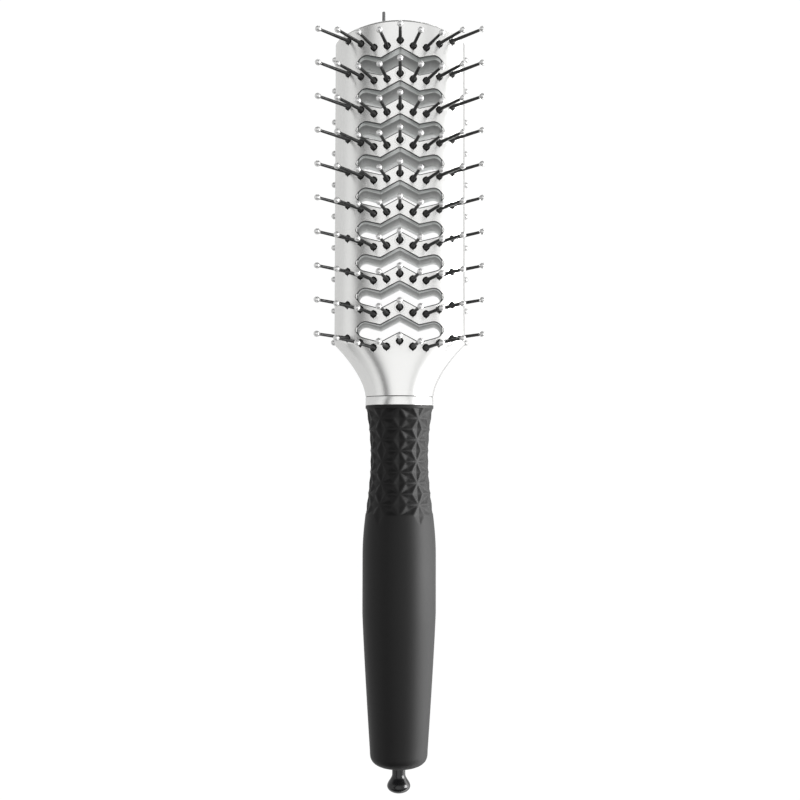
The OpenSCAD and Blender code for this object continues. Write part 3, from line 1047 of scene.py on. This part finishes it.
def polished_black():
    """Polished black plastic, with faint wear on its gloss."""
    material, shader, source = material_of(
        "polished_black", {
            "Specular IOR Level": 0.35, "Coat Weight": 0.15, "Coat Roughness": 0.12})
    wear = noise(source, scale=350, detail=4.0)
    links = {
        "Base Color": wear.blend(*BLACK_SHADES),
        "Roughness": 0.12 + 0.1 * wear,
    }
    feed(shader, source, links)
    return material


piece(
    turned(pick_profile()), "pick", [polished_black()], ["sectioning_pick"],
    body="pick")

# The studio is a white floor, on which the brush lies on its back pins, under soft light from
# all round. It is strongest from the right and weakest from the upper left, as the head shows.
FLOOR_DROP = 0.0002
FLOOR_SIZE = 3
FLOOR_PAINT = (0.86, 0.86, 0.86, 1)
# The floor's own glow: for light, what the camera adds, and what gloss sees at the right
FLOOR_GLOW = 1.02
CAMERA_GLOW = 0.1
KEY_GLOW = 7
# How much of the floor is glow and not paint, for light and for the camera
GLOW_SHARE = 0.5
CAMERA_SHARE = 0.35
# Where the bright strip for gloss starts and is full, in metres to the right of the brush, and
# how much nearer to the brush it comes beside the handle
KEY_FROM = 0.046
KEY_FULL = 0.085
HANDLE_NEARER = 0.026
NEARER_FROM = 0.095
NEARER_FULL = 0.05
floor_z = cad_box[0][2] - FLOOR_DROP


def smooth_step(source, value, start, full, top=1.0):
    """A smooth rise from 0, where the value is start, to top, where it is full."""
    return source.node("ShaderNodeMapRange", {"interpolation_type": "SMOOTHSTEP"}, {
        "Value": value, "From Min": start, "From Max": full, "To Max": top})


def ray(source, kind):
    return source.node("ShaderNodeLightPath", {}, {}, f"Is {kind} Ray")


def white_floor():
    """Pale floor that stays white for the camera and in gloss, under the brush's own shadow."""
    material = bpy.data.materials.new("white_floor")
    material.use_nodes = True
    tree = material.node_tree
    tree.nodes.clear()
    source = Signal(tree)
    matt = source.node("ShaderNodeBsdfDiffuse", {}, {"Color": FLOOR_PAINT})
    by_camera = ray(source, "Camera")
    by_gloss = ray(source, "Glossy") + ray(source, "Transmission")
    nearer = smooth_step(
        source, along_axis(source, "Y"), NEARER_FROM, NEARER_FULL, top=HANDLE_NEARER)
    keyed = smooth_step(source, along_axis(source, "X") + nearer, KEY_FROM, KEY_FULL)
    white = source.node("ShaderNodeEmission", {}, {
        "Color": (1, 1, 1, 1),
        "Strength": FLOOR_GLOW + CAMERA_GLOW * by_camera + KEY_GLOW * keyed * by_gloss})
    mixed = source.node("ShaderNodeMixShader", {}, {
        0: GLOW_SHARE + CAMERA_SHARE * by_camera, 1: matt, 2: white})
    out = tree.nodes.new("ShaderNodeOutputMaterial")
    tree.links.new(mixed.socket, out.inputs["Surface"])
    return material


ground = bmesh.new()
bmesh.ops.create_grid(ground, x_segments=1, y_segments=1, size=FLOOR_SIZE / 2)
bmesh.ops.translate(ground, vec=(0, 0, floor_z), verts=ground.verts)
floor_mesh = bpy.data.meshes.new("floor")
ground.to_mesh(floor_mesh)
ground.free()
floor_mesh.materials.append(white_floor())
floor = bpy.data.objects.new("floor", floor_mesh)
bpy.context.scene.collection.objects.link(floor)

# The room's light round the brush, from its left (0) over the top (0.5) to its right (1), with a
# dark strip at the upper left that spreads out towards the room's ends. The ends are dark
ROOM_LEVEL = 1.28
ROOM_STOPS = (
    (0.0, 0.62), (0.08, 0.8), (0.14, 0.8), (0.19, 0.66), (0.22, 0.1), (0.265, 0.08),
    (0.3, 0.5), (0.35, 0.9), (0.42, 1.0), (0.64, 0.98), (0.71, 0.62), (0.77, 0.85), (1.0, 0.8),
)
ROOM_SPREAD = 2.2
END_FROM = 0.4
END_FULL = 0.68
END_DARK = 0.92

world = bpy.data.worlds.new("studio")
bpy.context.scene.world = world
world.use_nodes = True
sky = Signal(world.node_tree)
across, along, upward = [along_axis(sky, axis, "Generated") for axis in "XYZ"]
spread = (along * along * ROOM_SPREAD + 1) * (1 / math.pi)
round_brush = sky.sum("ARCTAN2", across, upward) * spread + 0.5
sweep = sky.node("ShaderNodeValToRGB", {"stops": ROOM_STOPS}, {"Fac": round_brush})
end_shade = 1 - END_DARK * smooth_step(sky, sky.sum("ABSOLUTE", along), END_FROM, END_FULL)
# The camera itself sees plain white beyond the floor
shade = sky.sum("MAXIMUM", sweep * end_shade * ROOM_LEVEL, ray(sky, "Camera"))
background = world.node_tree.nodes["Background"]
world.node_tree.links.new(shade.socket, background.inputs["Color"])

# A square lamp at the right, which shows in glosses only
KEY_PLACE = Vector((0.7, 0.05, 0.15))
KEY_TARGET = Vector((0, 0.05, 0))
KEY_SIZE = 0.42
KEY_POWER = 9.5
key = bpy.data.lights.new("key_right", "AREA")
key.size = KEY_SIZE
key.energy = KEY_POWER
key_lamp = bpy.data.objects.new("key_right", key)
key_lamp.location = KEY_PLACE
key_lamp.rotation_euler = (KEY_TARGET - KEY_PLACE).to_track_quat("-Z", "Y").to_euler()
key_lamp.visible_diffuse = False
bpy.context.scene.collection.objects.link(key_lamp)

# The camera stands nearly straight over the brush, a little nearer to its handle, and looks at
# the brush's middle.
CAMERA_PLACE = Vector((0.15, 40.2, 349.7)) * MM
CAMERA_TARGET = Vector((0.15, 54.21, 0)) * MM
CAMERA_LENS = 52.94
CAMERA_SENSOR = 36
CAMERA_ROLL = math.radians(0.12)
view = bpy.data.cameras.new("camera")
view.lens = CAMERA_LENS
view.sensor_width = CAMERA_SENSOR
camera = bpy.data.objects.new("camera", view)
ahead = (CAMERA_TARGET - CAMERA_PLACE).normalized()
right = ahead.cross(Vector((0, 1, 0))).normalized()
turn = Matrix((right, right.cross(ahead), -ahead)).transposed().to_4x4()
turn = turn @ Matrix.Rotation(CAMERA_ROLL, 4, "Z")
camera.matrix_world = Matrix.Translation(CAMERA_PLACE) @ turn
bpy.context.scene.collection.objects.link(camera)
bpy.context.scene.camera = camera
bpy.context.scene.view_settings.view_transform = "Standard"
